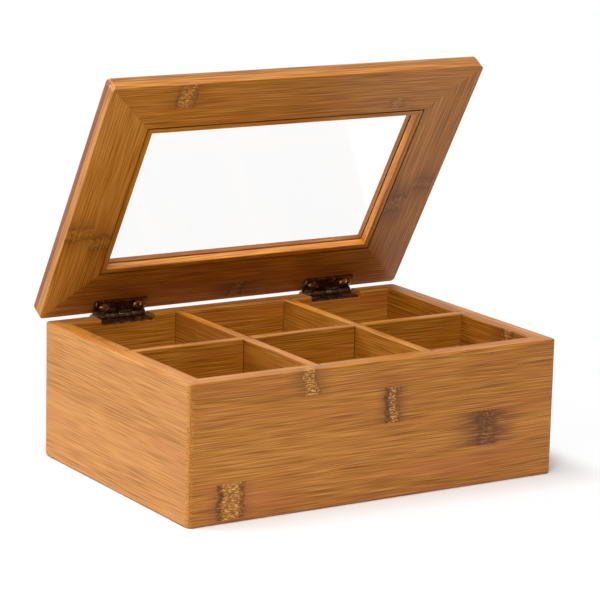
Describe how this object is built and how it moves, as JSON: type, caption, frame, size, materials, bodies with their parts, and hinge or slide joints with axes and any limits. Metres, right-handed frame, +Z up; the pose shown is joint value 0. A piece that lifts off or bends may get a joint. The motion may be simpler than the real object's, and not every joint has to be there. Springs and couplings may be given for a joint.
{
  "type": "tea bag organizer box",
  "caption": "Bamboo tea box with compartments for tea sachets and a hinged lid with a clear window.",
  "frame": {"origin": "centre of the box's underside", "axes": "+X to the right seen from the front, +Y towards the hinges, +Z up; the lid stands open as in use"},
  "size_m": [0.219, 0.1597, 0.2053],
  "materials": {
    "bamboo_walls": "satin",
    "bamboo_base": "satin",
    "bamboo_dividers": "satin",
    "bamboo_lid": "satin",
    "bamboo_beads": "satin",
    "window_glass": "gloss",
    "hinge_bronze": "satin",
    "pin_bronze": "satin",
    "screw_bronze": "satin"
  },
  "bodies": {
    "box": {"front_wall": "bamboo_walls", "back_wall": "bamboo_walls", "left_wall": "bamboo_walls", "right_wall": "bamboo_walls", "base_panel": "bamboo_base", "cross_divider": "bamboo_dividers", "left_divider": "bamboo_dividers", "right_divider": "bamboo_dividers", "hinge_left_box_leaf": "hinge_bronze", "hinge_right_box_leaf": "hinge_bronze", "hinge_left_pin": "pin_bronze", "hinge_right_pin": "pin_bronze", "box_leaf_screws": "screw_bronze"},
    "lid": {"lid_front_rail": "bamboo_lid", "lid_rear_rail": "bamboo_lid", "lid_left_stile": "bamboo_lid", "lid_right_stile": "bamboo_lid", "window_pane": "window_glass", "bead_front": "bamboo_beads", "bead_rear": "bamboo_beads", "bead_left": "bamboo_beads", "bead_right": "bamboo_beads", "hinge_left_lid_leaf": "hinge_bronze", "hinge_right_lid_leaf": "hinge_bronze", "lid_leaf_screws": "screw_bronze"}
  },
  "joints": [
    {"name": "lid_hinge", "type": "hinge", "parent": "box", "child": "lid", "pos_m": [0, 0.07666, 0.0694], "axis": [-1, 0, 0], "range_deg": [-59, 136]}
  ]
}
